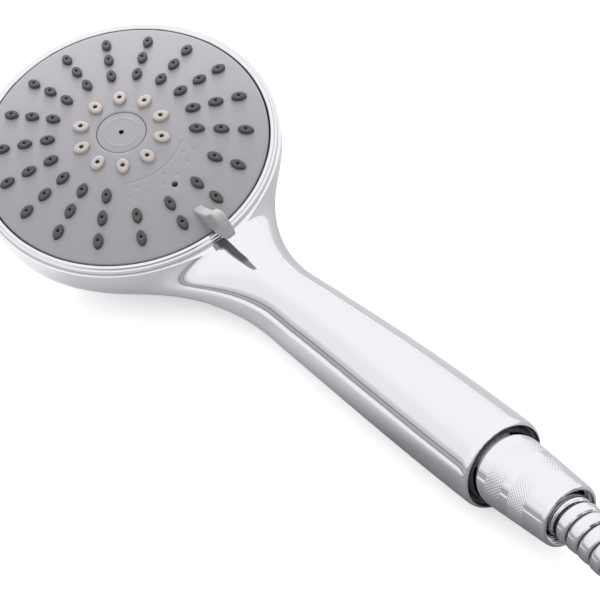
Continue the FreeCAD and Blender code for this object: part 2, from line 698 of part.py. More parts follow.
def inlet_nipple():
    web_back = END_X - RECESS_DEPTH - WEB - GAP
    parts = [rod(THREAD_R, web_back - 1, END_X + THREAD_OUT),
             rod(THREAD_R + NIPPLE_FLANGE, web_back - 3, web_back),
             rod(NIPPLE_TAIL_R, web_back - NIPPLE_TAIL, web_back - 1)]
    body = fuse(parts)
    body = body.cut(rod(TUBE_R + GAP, web_back - NIPPLE_TAIL - 1, END_X - TUBE_END + 0.1))
    body = body.cut(rod(NIPPLE_BORE_R, web_back - NIPPLE_TAIL - 1, END_X + 5))
    body = body.cut(rod(INSERT_R, END_X - INSERT_DEPTH, END_X + 5))
    first = END_X - 7.2
    grooves = [pipe(THREAD_R + 1, THREAD_R - THREAD_DEPTH, first + THREAD_PITCH * i,
                    first + THREAD_PITCH * i + THREAD_GROOVE) for i in range(THREAD_GROOVES)]
    return body.cut(grooves)


def flow_restrictor():
    low = END_X - INSERT_DEPTH + GAP
    body = pipe(INSERT_R - GAP, 1.6, low, low + 3.05)
    return body.cut(pipe(INSERT_R + 0.5, INSERT_R - 0.9, low + 1.05, low + 2.05))


def filter_screen():
    low = END_X - INSERT_DEPTH + 3.2
    rim_r = INSERT_R - GAP - INSERT_RIM
    rim = pipe(INSERT_R - GAP, rim_r, low, low + 1.6)
    mesh = rod(rim_r + 0.2, low + 0.4, low + 0.9)
    count = int(rim_r / MESH_PITCH)
    holes = []
    for row in range(-count, count + 1):
        for column in range(-count, count + 1):
            if math.hypot(row, column) * MESH_PITCH + MESH_HOLE_R < rim_r - 0.1:
                at = Vector(low, row * MESH_PITCH, AXIS_Z + column * MESH_PITCH)
                holes.append(Part.makeCylinder(MESH_HOLE_R, 2, at, X))
    return rim.fuse(mesh.cut(holes))


# ---- nut and hose ----
def hose_nut():
    start = END_X - NUT_IN
    end = END_X + NUT_OUT
    outline = Part.makeCone(NUT_BIG_R, NUT_SMALL_R, end - start, Vector(start, 0, AXIS_Z), X)
    rims = [e for e in outline.Edges if e.Length > NUT_SMALL_R * 2 and e.BoundBox.XMin > end - 0.1]
    outline = outline.makeFillet(NUT_ROUND, rims)
    shoulder = END_X + THREAD_OUT + WASHER_T + FERRULE_FLANGE + 4 * GAP
    body = outline.cut(rod(THREAD_R + 0.03, start - 1, shoulder))
    return body.cut(rod(NUT_BORE_R, shoulder - 1, end + 1))


def hose_washer():
    low = END_X + THREAD_OUT + GAP
    return pipe(WASHER_R, WASHER_BORE_R, low, low + WASHER_T)


def hose_ferrule():
    low = END_X + THREAD_OUT + WASHER_T + 2 * GAP
    flange = rod(FLANGE_R, low, low + FERRULE_FLANGE)
    sleeve = rod(HOSE_R, low, HOSE_X)
    return flange.fuse(sleeve).cut(rod(FERRULE_BORE_R, low - 1, HOSE_X + 1))


COIL_X = HOSE_X + HOSE_ROUTE[-1][0] - COIL_R * math.cos(math.radians(COIL_START))
COIL_Y = HOSE_ROUTE[-1][1] - COIL_R * math.sin(math.radians(COIL_START))


def hose_points():
    return [Vector(HOSE_X + x, y, z) for x, y, z in HOSE_ROUTE]


def tube_along(points, radius):
    """Round tube on straight runs joined by tangent arcs."""
    edges = []
    last = points[0]
    for before, corner, after in zip(points[:-2], points[1:-1], points[2:]):
        into = (corner - before).normalize()
        out = (after - corner).normalize()
        half = into.getAngle(out) / 2
        cut = 0.45 * min((corner - before).Length, (after - corner).Length)
        first = corner - into * cut
        second = corner + out * cut
        bend = cut / math.tan(half)
        inward = (out - into).normalize()
        middle = corner + inward * (bend / math.cos(half) - bend)
        edges.append(Part.LineSegment(last, first).toShape())
        edges.append(Part.Arc(first, middle, second).toShape())
        print("hose bend radius", round(bend, 1))
        last = second
    edges.append(Part.LineSegment(last, points[-1]).toShape())
    path = Part.Wire(edges)
    start = Part.Wire(Part.makeCircle(radius, points[0], points[1] - points[0]))
    tube = path.makePipeShell([start], True, False)
    print("hose volume", round(tube.Volume), "section times length",
          round(math.pi * radius ** 2 * path.Length), "length", round(path.Length, 1))
    return tube


def hose_tube():
    return tube_along(hose_points(), HOSE_R)


def coil_end():
    """Place and direction of the hose's far end, on top of the coil."""
    angle = math.radians(COIL_START + COIL_SWEEP)
    at = Vector(COIL_X + COIL_R * math.cos(angle), COIL_Y + COIL_R * math.sin(angle),
                (COIL_LAYERS - 1) * 2 * HOSE_R + FAR_NUT_LIFT + FAR_CORNER_R)
    return at, Vector(-math.sin(angle), math.cos(angle), 0)


def hose_coil():
    """The put-away turns as one solid. The last turn ends under the far ferrule."""
    center = Vector(COIL_X, COIL_Y, 0)
    wide = HOSE_R + COIL_SPREAD
    high = COIL_FLOOR + 2 * HOSE_R

    def arch(bottom, top, start, sweep):
        outer = Part.makeCylinder(COIL_R + wide, top - bottom, center + Z * bottom, Z, sweep)
        outer.rotate(center, Z, start)
        return outer.cut(Part.makeCylinder(COIL_R - wide, PAST, center))

    seam = math.degrees(2 * GAP / COIL_R)
    below = arch(COIL_FLOOR, high, COIL_START + seam, 360 - COIL_ENTRY - seam)
    stack = arch(high, COIL_FLOOR + (COIL_LAYERS - 1) * 2 * HOSE_R, 0, 360)
    upper = arch(high + 1, COIL_FLOOR + COIL_LAYERS * 2 * HOSE_R, COIL_START,
                 COIL_SWEEP - (COIL_LAYERS - 1) * 360)
    at, along = coil_end()
    riser = Part.makeBox(3, 2 * wide, at.z + HOSE_R - high, Vector(0, -wide, high + 1))
    riser.Placement = Placement(Vector(at.x, at.y, 0), Rotation(X, along))
    riser.translate(along * -3)
    entry = arch(0, high + COIL_ENTRY_ROOM, COIL_START - COIL_ENTRY, COIL_ENTRY + seam)
    return below.fuse([stack, upper, riser]).cut(entry)


def far_place(shape):
    """Put a shape drawn along +X from the origin onto the hose's far end."""
    at, along = coil_end()
    moved = shape.copy()
    moved.Placement = Placement(at, Rotation(X, along)).multiply(moved.Placement)
    return moved


def lying(radius, start, end):
    return Part.makeCylinder(radius, end - start, Vector(start, 0, 0), X)


def far_ferrule():
    end = FAR_SLEEVE + FERRULE_FLANGE
    sleeve = lying(HOSE_R, 0, end)
    flange = lying(FLANGE_R, FAR_SLEEVE, end)
    return far_place(sleeve.fuse(flange).cut(lying(FERRULE_BORE_R, -1, end + 1)))


def far_nut():
    """Hexagon with a round collar, threaded ahead of the washer and the flange."""
    start = FAR_SLEEVE - GAP - FAR_NUT_BACK
    end = start + FAR_NUT_LENGTH
    chamfer = FAR_CORNER_R - THREAD_R - FAR_NUT_WALL
    corners = []
    for i in range(7):
        angle = math.radians(60 * i)
        corners.append(Vector(start, FAR_CORNER_R * math.cos(angle),
                              FAR_CORNER_R * math.sin(angle)))
    prism = Part.Face(Part.makePolygon(corners)).extrude(X * FAR_NUT_LENGTH)
    chamfered = Part.makeCone(FAR_CORNER_R - chamfer, FAR_CORNER_R, chamfer, Vector(start, 0, 0), X)
    nut = prism.common(chamfered.fuse(lying(FAR_CORNER_R, start + chamfer, end)))
    relief_end = FAR_SLEEVE + FERRULE_FLANGE + WASHER_T + 5 * GAP
    nut = nut.cut(lying(HOSE_R + FAR_NUT_PLAY, start - 1, FAR_SLEEVE))
    nut = nut.cut(lying(THREAD_R + FREE, FAR_SLEEVE - GAP, relief_end))
    return far_place(nut.cut(lying(THREAD_R, FAR_SLEEVE, end + 1)))


def far_washer():
    low = FAR_SLEEVE + FERRULE_FLANGE + GAP
    return far_place(lying(WASHER_R, low, low + WASHER_T).cut(lying(WASHER_BORE_R, low - 1, PAST)))


NODES = [handle_shell, bezel_ring, spray_plate, nozzle_mat, center_nozzle_ring, center_cap,
         selector_lever, distribution_plate, valve_hub, hub_o_ring, port_seal, port_spring,
         detent_pin, detent_spring, center_screw, screw_washer, hub_screws, waterway_tube,
         inlet_nipple, flow_restrictor, filter_screen, hose_nut, hose_washer, hose_ferrule,
         hose_tube, hose_coil, far_ferrule, far_nut, far_washer]

place, along = coil_end()
print("head centre", HEAD_X, HEAD_Z, "handle end", END_X, "hose start", HOSE_X)
print("coil centre", COIL_X, COIL_Y, "far end", place, along)
os.makedirs("parts", exist_ok=True)
for build in NODES:
    shape = build()
    box = shape.BoundBox
    print(build.__name__, "solids", len(shape.Solids), "valid", shape.isValid(), "volume",
          round(shape.Volume, 1), [round(v, 2) for v in (box.XMin, box.XMax, box.YMin, box.YMax,
                                                          box.ZMin, box.ZMax)])
    shape.exportStep("parts/" + build.__name__ + ".step")
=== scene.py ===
import json
import math

import bmesh
import bpy
from mathutils import Matrix, Vector

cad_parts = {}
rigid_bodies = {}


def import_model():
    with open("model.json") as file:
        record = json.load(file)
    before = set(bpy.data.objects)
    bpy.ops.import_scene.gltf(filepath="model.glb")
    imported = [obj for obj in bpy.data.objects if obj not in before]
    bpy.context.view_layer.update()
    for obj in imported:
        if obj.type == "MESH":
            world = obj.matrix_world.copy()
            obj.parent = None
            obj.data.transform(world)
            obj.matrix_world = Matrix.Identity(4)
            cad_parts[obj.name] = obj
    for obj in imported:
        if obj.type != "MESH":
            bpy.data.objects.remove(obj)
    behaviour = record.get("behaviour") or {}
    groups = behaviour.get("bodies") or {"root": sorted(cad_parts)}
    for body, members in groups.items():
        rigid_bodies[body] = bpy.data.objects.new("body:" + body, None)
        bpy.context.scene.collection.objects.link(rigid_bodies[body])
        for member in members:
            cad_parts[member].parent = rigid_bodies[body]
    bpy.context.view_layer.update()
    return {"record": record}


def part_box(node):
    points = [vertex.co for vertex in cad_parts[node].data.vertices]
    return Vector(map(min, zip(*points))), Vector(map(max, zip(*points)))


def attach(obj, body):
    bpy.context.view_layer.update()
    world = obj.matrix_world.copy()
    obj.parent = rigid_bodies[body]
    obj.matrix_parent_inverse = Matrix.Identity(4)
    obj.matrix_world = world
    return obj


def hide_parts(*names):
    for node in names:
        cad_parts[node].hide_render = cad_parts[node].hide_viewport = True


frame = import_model()

# ---- sizes, in metres, that repeat the model's own ----
MM = 0.001
NEAR_AXIS = 0.0001 * MM          # radius that closes a turned outline
AXIS_Z = 15.5 * MM              # height of the handle's axis
HEAD_TILT = math.radians(12.5)
HEAD = Vector(next(joint["pos_m"] for joint in frame["record"]["behaviour"]["joints"]
                   if joint["name"] == "spray_select"))
FACE_R = 49.4 * MM
FACE_CROWN = 6.8 * MM
HOSE_R = 7.5 * MM
HOSE_PITCH = 5.6 * MM
COIL_R = 75.0 * MM
COIL_START = 234.0
COIL_SWEEP = 1033.0
COIL_STEP = 15.0
FAR_Z = 44.7564 * MM
NUT_IN = 8.4 * MM
NUT_OUT = 30.5 * MM
NUT_BIG_R = 12.7 * MM
NUT_SMALL_R = 10.7 * MM
NUT_BORE_R = 8.7 * MM

MOUTH_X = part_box("handle_shell")[1][0]
HOSE_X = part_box("hose_tube")[0][0]
SPHERE_R = (FACE_R ** 2 + FACE_CROWN ** 2) / (2 * FACE_CROWN)
TO_FRAME = Matrix.Translation(HEAD) @ Matrix.Rotation(HEAD_TILT, 4, "Y")


# ---- small helpers ----
def face_height(radius):
    """Height of the domed spray face over the bezel's plane, in head axes."""
    return FACE_CROWN - SPHERE_R + math.sqrt(SPHERE_R ** 2 - radius ** 2)


def piece(name, vertices, faces, body):
    """Smooth-shaded mesh object that rides a body."""
    mesh = bpy.data.meshes.new(name)
    mesh.from_pydata([tuple(v) for v in vertices], [], faces)
    mesh.validate()
    mesh.update()
    mesh.shade_smooth()
    obj = bpy.data.objects.new(name, mesh)
    bpy.context.scene.collection.objects.link(obj)
    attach(obj, body)
    return obj


def ring_faces(rows, around, first=0):
    """Quads between rows of vertices that each run once round."""
    faces = []
    for row in range(rows - 1):
        for i in range(around):
            j = (i + 1) % around
            faces.append((first + row * around + i, first + row * around + j,
                          first + (row + 1) * around + j, first + (row + 1) * around + i))
    return faces


def lathe(profile, segments, place):
    """Vertices and faces of an open or closed outline of (radius, height), turned about Z."""
    vertices = []
    for radius, height in profile:
        for i in range(segments):
            angle = 2 * math.pi * i / segments
            vertices.append(place @ Vector((radius * math.cos(angle),
                                            radius * math.sin(angle), height)))
    return vertices, ring_faces(len(profile), segments)


def rounded(points, radius, steps=5):
    """The outline with its inner corners replaced by small quadratic rounds."""
    out = [points[0]]
    for before, corner, after in zip(points[:-2], points[1:-1], points[2:]):
        before, corner, after = Vector(before), Vector(corner), Vector(after)
        into = min(radius, (corner - before).length * 0.45)
        away = min(radius, (after - corner).length * 0.45)
        first = corner + (before - corner).normalized() * into
        last = corner + (after - corner).normalized() * away
        for i in range(steps + 1):
            t = i / steps
            out.append(tuple(first * (1 - t) ** 2 + corner * 2 * t * (1 - t) + last * t * t))
    out.append(points[-1])
    return out


# ---- materials ----
def shader(name, color, roughness, metallic=0.0, bump=0.0, scale=400.0, vary=0.0, **sockets):
    """Principled material with fine bump and uneven gloss, all procedural."""
    mat = bpy.data.materials.new(name)
    mat.use_nodes = True
    tree = mat.node_tree
    bsdf = tree.nodes["Principled BSDF"]
    bsdf.inputs["Metallic"].default_value = metallic
    bsdf.inputs["Roughness"].default_value = roughness
    for key, value in sockets.items():
        bsdf.inputs[key.replace("_", " ")].default_value = value
    place = tree.nodes.new("ShaderNodeTexCoord")
    broad = tree.nodes.new("ShaderNodeTexNoise")
    broad.inputs["Scale"].default_value = 60.0
    broad.inputs["Detail"].default_value = 3.0
    tree.links.new(place.outputs["Object"], broad.inputs["Vector"])
    tint = tree.nodes.new("ShaderNodeMix")
    tint.data_type = "RGBA"
    tint.inputs["A"].default_value = (*[c * (1 - vary) for c in color], 1)
    tint.inputs["B"].default_value = (*[min(1, c * (1 + vary)) for c in color], 1)
    tree.links.new(broad.outputs["Fac"], tint.inputs["Factor"])
    tree.links.new(tint.outputs["Result"], bsdf.inputs["Base Color"])
    if roughness > 0.03:
        spread = tree.nodes.new("ShaderNodeMapRange")
        spread.inputs["To Min"].default_value = roughness * 0.85
        spread.inputs["To Max"].default_value = roughness * 1.15
        tree.links.new(broad.outputs["Fac"], spread.inputs["Value"])
        tree.links.new(spread.outputs["Result"], bsdf.inputs["Roughness"])
    if bump:
        fine = tree.nodes.new("ShaderNodeTexNoise")
        fine.inputs["Scale"].default_value = scale
        fine.inputs["Detail"].default_value = 2.0
        tree.links.new(place.outputs["Object"], fine.inputs["Vector"])
        relief = tree.nodes.new("ShaderNodeBump")
        relief.inputs["Strength"].default_value = bump
        relief.inputs["Distance"].default_value = 0.0001
        tree.links.new(fine.outputs["Fac"], relief.inputs["Height"])
        tree.links.new(relief.outputs["Normal"], bsdf.inputs["Normal"])
    return mat


CHROME = shader("chrome_plate", (0.60, 0.605, 0.62), 0.035, 1.0, vary=0.01)
MOUTH_GREY = shader("dull_plating", (0.30, 0.30, 0.31), 0.30, bump=0.05, vary=0.02)
SATIN_STEEL = shader("hose_band", (0.60, 0.60, 0.615), 0.09, 1.0, bump=0.05, scale=900, vary=0.03)
FACE_GREY = shader("face_grey", (0.213, 0.208, 0.222), 0.42, bump=0.25, scale=2500, vary=0.02,
                   Specular_IOR_Level=0.45)
DARK_TIP = shader("dark_silicone", (0.048, 0.041, 0.042), 0.45, bump=0.3, scale=1500, vary=0.08,
                  Specular_IOR_Level=0.4)
LIGHT_TIP = shader("light_silicone", (0.31, 0.28, 0.262), 0.42, bump=0.2, scale=1500, vary=0.03,
                   Subsurface_Weight=0.15, Subsurface_Scale=0.002)
LEVER_GREY = shader("lever_grey", (0.27, 0.262, 0.268), 0.35, bump=0.15, scale=2000, vary=0.02)
NATURAL = shader("natural_plastic", (0.70, 0.70, 0.66), 0.4, bump=0.1, scale=900, vary=0.03)
# Real seal rubber; also painted shade, in black, in the hose's gaps, the nozzle bores, the vent
# and the cap's pinhole.
RUBBER_AND_PAINTED_SHADE = shader("seal_rubber", (0.02, 0.02, 0.02), 0.55, bump=0.3, scale=900, vary=0.2)
WIRE = shader("spring_wire", (0.6, 0.6, 0.6), 0.25, 1.0, bump=0.1, vary=0.05)
NICKEL = shader("nickel_plate", (0.72, 0.69, 0.62), 0.18, 1.0, bump=0.05, vary=0.04)

BY_SLOT = {
    "chrome_plated_plastic": CHROME, "chrome_brass": CHROME, "grey_plate": FACE_GREY,
    "dark_silicone": DARK_TIP, "light_silicone": LIGHT_TIP, "lever_grey": LEVER_GREY,
    "natural_plastic": NATURAL, "seal_rubber": RUBBER_AND_PAINTED_SHADE, "spring_steel": WIRE,
    "screw_steel": WIRE, "nickel_brass": NICKEL, "hose_steel": SATIN_STEEL,
}


def dress_cad():
    for entry in frame["record"]["subparts"]:
        obj = bpy.data.objects[entry["node"]]
        material = BY_SLOT[entry["material_slot"]]
        if not obj.material_slots:
            obj.data.materials.append(material)
        for slot in obj.material_slots:
            slot.material = material


# ---- hose ----
# The route's points, in millimetres from the hose's start: along X, along Y, and height.
HOSE_ROUTE = [(0.0, 0.0, 15.5), (24.0, 0.0, 15.5), (47.5, -5.0, 11.7), (69.4, -14.8, 7.8),
              (88.8, -28.9, 7.8)]


def far_end():
    """Where the hose ends on the coil, and the way that it points."""
    angle = math.radians(COIL_START + COIL_SWEEP)
    center = coil_center()
    at = center + Vector((math.cos(angle), math.sin(angle), 0)) * COIL_R
    at.z = FAR_Z
    return at, Vector((-math.sin(angle), math.cos(angle), 0))


def coil_center():
    start = math.radians(COIL_START)
    last = HOSE_ROUTE[-1]
    return Vector((HOSE_X + last[0] * MM - COIL_R * math.cos(start),
                   last[1] * MM - COIL_R * math.sin(start), 0))


def hose_control_points():
    points = [Vector((HOSE_X + x * MM, y * MM, z * MM)) for x, y, z in HOSE_ROUTE]
    center = coil_center()
    reach = COIL_R / math.cos(math.radians(COIL_STEP / 2))
    floor = HOSE_ROUTE[-1][2] * MM
    steps = int((COIL_SWEEP - 20) / COIL_STEP)
    for i in range(1, steps + 1):
        turn = i * COIL_STEP
        layer, within = divmod(turn, 360.0)
        climb = min(1.0, max(0.0, (within - 310.0) / 50.0))
        climb = climb * climb * (3 - 2 * climb)
        height = floor + (layer + climb) * 2 * HOSE_R
        angle = math.radians(COIL_START + turn)
        points.append(center + Vector((reach * math.cos(angle), reach * math.sin(angle), height)))
    at, along = far_end()
    points[-1].z += 0.5 * (at.z - points[-1].z)
    return points + [at - along * 12 * MM, at]


def spline_points(control):
    """Points along the smooth NURBS curve through the route."""
    data = bpy.data.curves.new("hose_line", "CURVE")
    data.dimensions = "3D"
    data.resolution_u = 16
    spline = data.splines.new("NURBS")
    spline.points.add(len(control) - 1)
    for point, co in zip(spline.points, control):
        point.co = (*co, 1.0)
    spline.order_u = 3
    spline.use_endpoint_u = True
    holder = bpy.data.objects.new("hose_line", data)
    mesh = bpy.data.meshes.new_from_object(holder)
    line = [v.co.copy() for v in mesh.vertices]
    bpy.data.objects.remove(holder)
    bpy.data.meshes.remove(mesh)
    return line


class Line:
    """Arc length, place and twist-free frame along a chain of points."""

    def __init__(self, points):
        self.points = points
        self.at = [0.0]
        for a, b in zip(points[:-1], points[1:]):
            self.at.append(self.at[-1] + (b - a).length)
        self.length = self.at[-1]
        self.tangents = []
        for i in range(len(points)):
            a = points[max(0, i - 1)]
            b = points[min(len(points) - 1, i + 1)]
            self.tangents.append((b - a).normalized())
        normal = Vector((0, 0, 1))
        self.normals = []
        for tangent in self.tangents:
            normal = (normal - tangent * normal.dot(tangent)).normalized()
            self.normals.append(normal.copy())

    def frame(self, s, hint):
        s = min(max(s, 0.0), self.length)
        while hint > 0 and self.at[hint] > s:
            hint -= 1
        while hint < len(self.at) - 2 and self.at[hint + 1] < s:
            hint += 1
        span = self.at[hint + 1] - self.at[hint]
        t = (s - self.at[hint]) / span
        place = self.points[hint].lerp(self.points[hint + 1], t)
        tangent = self.tangents[hint].lerp(self.tangents[hint + 1], t).normalized()
        normal = self.normals[hint].lerp(self.normals[hint + 1], t)
        normal = (normal - tangent * normal.dot(tangent)).normalized()
        return place, normal, tangent.cross(normal), hint


# One band of the spiral: share of the pitch, and how far under the full radius.
BAND = [(0.00, 1.00), (0.08, 1.00), (0.13, 0.50), (0.18, 0.12), (0.34, 0.0), (0.64, 0.02),
        (0.84, 0.14), (0.91, 0.40), (0.95, 0.90)]
GAP_ROWS_PAINTED_SHADE = (0, 1, 8)            # rows of the band that lie in the gap, painted black as painted shade


def hose():
    """Spiral-wound hose: the rings of vertices follow the helix of its band."""
    line = Line(spline_points(hose_control_points()))
    around = 32
    turns = int(line.length / HOSE_PITCH) + 2
    rings = turns * len(BAND)
    vertices = []
    hint = 0
    for ring in range(rings):
        turn, part = divmod(ring, len(BAND))
        share, sink = BAND[part]
        for i in range(around):
            angle = 2 * math.pi * i / around
            s = (turn + share - i / around) * HOSE_PITCH
            place, normal, side, hint = line.frame(s, hint)
            radius = HOSE_R - sink * MM
            vertices.append(place + (normal * math.cos(angle) + side * math.sin(angle)) * radius)
    faces, gap_shade = [], []
    for ring in range(rings - 1):
        for i in range(around - 1):
            a = ring * around + i
            faces.append((a, a + 1, a + around + 1, a + around))
        seam = ring - len(BAND)
        if seam >= 0:
            faces.append((ring * around + around - 1, seam * around,
                          (seam + 1) * around, (ring + 1) * around + around - 1))
        gap_shade += [ring % len(BAND) in GAP_ROWS_PAINTED_SHADE] * (len(faces) - len(gap_shade))
    obj = piece("metal_hose", vertices, faces, "handset")
    obj.data.materials.append(SATIN_STEEL)
    obj.data.materials.append(RUBBER_AND_PAINTED_SHADE)
    # Painted shade: faces in the gap between windings take the black material.
    for face, dark in zip(obj.data.polygons, gap_shade):
        face.material_index = 1 if dark else 0
    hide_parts("hose_tube", "hose_coil")


# ---- cone nut ----
KNURL = [(4.6, 11.2), (14.4, 21.4)]
KNURL_TEETH = 60
KNURL_PITCH = 1.25
KNURL_DEEP = 0.15 * MM
KNURL_CROSS = 0.55              # depth of the crossing grooves, as a share
KNURL_FADE = 0.3                # the knurl rises over this length, in mm
NUT_ROUND = 1.2 * MM
NUT_CHAMFER = 0.4 * MM
NUT_BACK_R = 11.0 * MM          # hole in the nut's back
NUT_ROW = 0.15 * MM             # between rows of vertices
LIP_STEP = 0.5 * MM             # from the bore to the mouth's inner round
LIP_ROUND = 0.3 * MM


def nut_radius(x):
    share = (x + NUT_IN) / (NUT_IN + NUT_OUT)
    return NUT_BIG_R + (NUT_SMALL_R - NUT_BIG_R) * share


def knurl(x, angle):
    """Depth of the knurl: fine grooves that lean one way in one band and back in the other."""
    at = x / MM
    for side, (low, high) in zip((1, -1), KNURL):
        if low < at < high:
            lean = side * (at - low) * 2 * math.pi / KNURL_PITCH
            main = max(0.0, math.cos(KNURL_TEETH * angle + lean)) ** 2
            cross = max(0.0, math.cos(KNURL_TEETH * angle - lean)) ** 2
            edge = min(1.0, (at - low) / KNURL_FADE, (high - at) / KNURL_FADE)
            return KNURL_DEEP * edge * max(main, KNURL_CROSS * cross)
    return 0.0


def cone_nut():
    around = KNURL_TEETH * 10
    rows = [(-NUT_IN, NUT_BACK_R), (-NUT_IN, nut_radius(-NUT_IN) - NUT_CHAMFER),
            (-NUT_IN + NUT_CHAMFER, nut_radius(-NUT_IN))]
    x = -NUT_IN + 1.0 * MM
    while x < NUT_OUT - NUT_ROUND - 0.2 * MM:
        rows.append((x, nut_radius(x)))
        x += NUT_ROW
    for i in range(9):
        turn = math.pi * i / 8
        if turn < math.pi / 2:
            radius = nut_radius(NUT_OUT) - NUT_ROUND + NUT_ROUND * math.cos(turn)
        else:
            radius = NUT_BORE_R + LIP_STEP + LIP_ROUND * (1 + math.cos(turn))
        rows.append((NUT_OUT - NUT_ROUND + NUT_ROUND * math.sin(turn), radius))
    rows += [(NUT_OUT - NUT_ROUND, NUT_BORE_R), (NUT_OUT - 8 * MM, NUT_BORE_R),
             (NUT_OUT - 20 * MM, NUT_BORE_R)]
    vertices = []
    for x, radius in rows:
        for i in range(around):
            angle = 2 * math.pi * i / around
            r = radius - (knurl(x, angle) if radius > NUT_BORE_R + 1.2 * MM else 0)
            vertices.append(Vector((MOUTH_X + x, r * math.cos(angle),
                                    AXIS_Z + r * math.sin(angle))))
    obj = piece("knurled_cone_nut", vertices, ring_faces(len(rows), around), "cone_nut")
    obj.data.materials.append(CHROME)
    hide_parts("hose_nut")


# ---- shell: head bowl and handle in one ----
BOWL_R = 53.5 * MM
BOWL_WALL = 2.6 * MM
BOWL_WALL_Z = -5.0 * MM
BOWL_SIDE_R = 22.0 * MM
BOWL_BACK_Z = -36.8 * MM
PARTING_Z = -2.1 * MM
RECESS_R = 13.4 * MM
RECESS_DEPTH = 9.0 * MM
WEB_HOLE_R = 10.53 * MM         # where the nipple passes the handle's web
MOUTH_ROUND = 1.6               # of the handle's end, in mm
# Flare of the handle's mouth, in mm: along X from the mouth, and out from the recess.
MOUTH_FLARE = [(-3.4, 0.0), (-1.6, 0.35), (0.02, 0.95), (3, 0.95)]
# Saddle over the handle's root, in mm: where it starts outside the bowl, its length,
# and its linear and quadratic rise.
SADDLE_OUT, SADDLE_RUN, SADDLE_RISE, SADDLE_CURVE = 0.1, 28, 3.4, 7.2
SEAM_SMOOTHING = 220            # passes over the blend of bowl and handle
SKIN_SMOOTHING = 24             # passes over the whole skin
# Neck and handle: distance from the head's centre, half width, top and bottom, in mm.
NECK = [(14.0, 44.0, 28.5, 4.5), (28.0, 38.5, 27.0, 4.5), (40.0, 28.5, 25.0, 4.0),
        (50.0, 21.3, 23.8, 3.0), (62.0, 15.8, 24.1, 1.3), (78.0, 12.7, 24.9, 0.4),
        (100.0, 13.2, 27.0, 0.3), (133.0, 14.5, 29.5, 0.3), (165.0, 15.3, 30.7, 0.1),
        (194.2, 15.5, 31.0, 0.0)]
VOXEL = 0.7 * MM


def hermite(table, at):
    """Smooth value of each column of a table at a value of its first one."""
    k = 0
    while k < len(table) - 2 and table[k + 1][0] < at:
        k += 1
    x0, x1 = table[k][0], table[k + 1][0]
    t = (at - x0) / (x1 - x0)
    out = []
    for column in range(1, len(table[0])):
        def slope(i):
            low, high = max(0, i - 1), min(len(table) - 1, i + 1)
            return (table[high][column] - table[low][column]) / (table[high][0] - table[low][0])
        a, b = table[k][column], table[k + 1][column]
        out.append(a * (1 + 2 * t) * (1 - t) ** 2 + b * t * t * (3 - 2 * t)
                   + slope(k) * (x1 - x0) * t * (1 - t) ** 2
                   - slope(k + 1) * (x1 - x0) * t * t * (1 - t))
    return out


def bowl_profile(inset, top):
    """Outline of the bowl from its top edge to the middle of its back, in head axes."""
    flat = BOWL_R - BOWL_SIDE_R
    drop = BOWL_WALL_Z - BOWL_BACK_Z
    back = (flat ** 2 + drop ** 2 - BOWL_SIDE_R ** 2) / (2 * (drop - BOWL_SIDE_R))
    back_z = BOWL_BACK_Z + back
    slope = math.atan2(BOWL_WALL_Z - back_z, flat)
    outline = [(NEAR_AXIS, top), (BOWL_R - inset, top)]
    for i in range(25):
        angle = slope * i / 24
        outline.append((flat + (BOWL_SIDE_R - inset) * math.cos(angle),
                        BOWL_WALL_Z + (BOWL_SIDE_R - inset) * math.sin(angle)))
    for i in range(1, 25):
        angle = slope + (-math.pi / 2 - slope) * i / 24
        outline.append((max(NEAR_AXIS, (back - inset) * math.cos(angle)),
                        back_z + (back - inset) * math.sin(angle)))
    return outline


def solid(name, vertices, faces):
    """Closed mesh object with merged points and outward faces, for a boolean or a remesh."""
    mesh = bpy.data.meshes.new(name)
    mesh.from_pydata([tuple(v) for v in vertices], [], faces)
    work = bmesh.new()
    work.from_mesh(mesh)
    bmesh.ops.remove_doubles(work, verts=work.verts, dist=0.01 * MM)
    bmesh.ops.recalc_face_normals(work, faces=work.faces)
    work.to_mesh(mesh)
    work.free()
    obj = bpy.data.objects.new(name, mesh)
    bpy.context.scene.collection.objects.link(obj)
    return obj


def baked(obj):
    """Replace an object's mesh by what its modifiers make of it."""
    graph = bpy.context.evaluated_depsgraph_get()
    mesh = bpy.data.meshes.new_from_object(obj.evaluated_get(graph))
    obj.modifiers.clear()
    obj.data = mesh
    return obj


def cut_out(obj, tool):
    """Cut a tool out of an object, and remove the tool."""
    boolean = obj.modifiers.new("cut", "BOOLEAN")
    boolean.operation = "DIFFERENCE"
    boolean.solver = "EXACT"
    boolean.object = tool
    baked(obj)
    bpy.data.objects.remove(tool)


def handle_form():
    """Closed skin of the neck and handle, its end rounded."""
    around = 96
    head_x = HEAD.x / MM
    start, end = NECK[0][0], NECK[-1][0]
    rows = []
    for i in range(int(end - start - MOUTH_ROUND) + 1):
        rows.append((start + i, *hermite(NECK, start + i)))
    for i in range(7):
        turn = math.pi / 2 * i / 6
        inset = MOUTH_ROUND * (1 - math.cos(turn))
        at = end - MOUTH_ROUND + MOUTH_ROUND * math.sin(turn)
        width, top, bottom = hermite(NECK, min(end, at))
        rows.append((at, width - inset, top - inset, bottom + inset))
    vertices = []
    for at, width, top, bottom in rows:
        for i in range(around):
            angle = 2 * math.pi * i / around
            height = (top + bottom) / 2 + (top - bottom) / 2 * math.sin(angle)
            vertices.append(Vector((head_x + at, width * math.cos(angle), height)) * MM)
    ends = [tuple(range(around)), tuple(range((len(rows) - 1) * around, len(rows) * around))]
    return vertices, ends + ring_faces(len(rows), around)


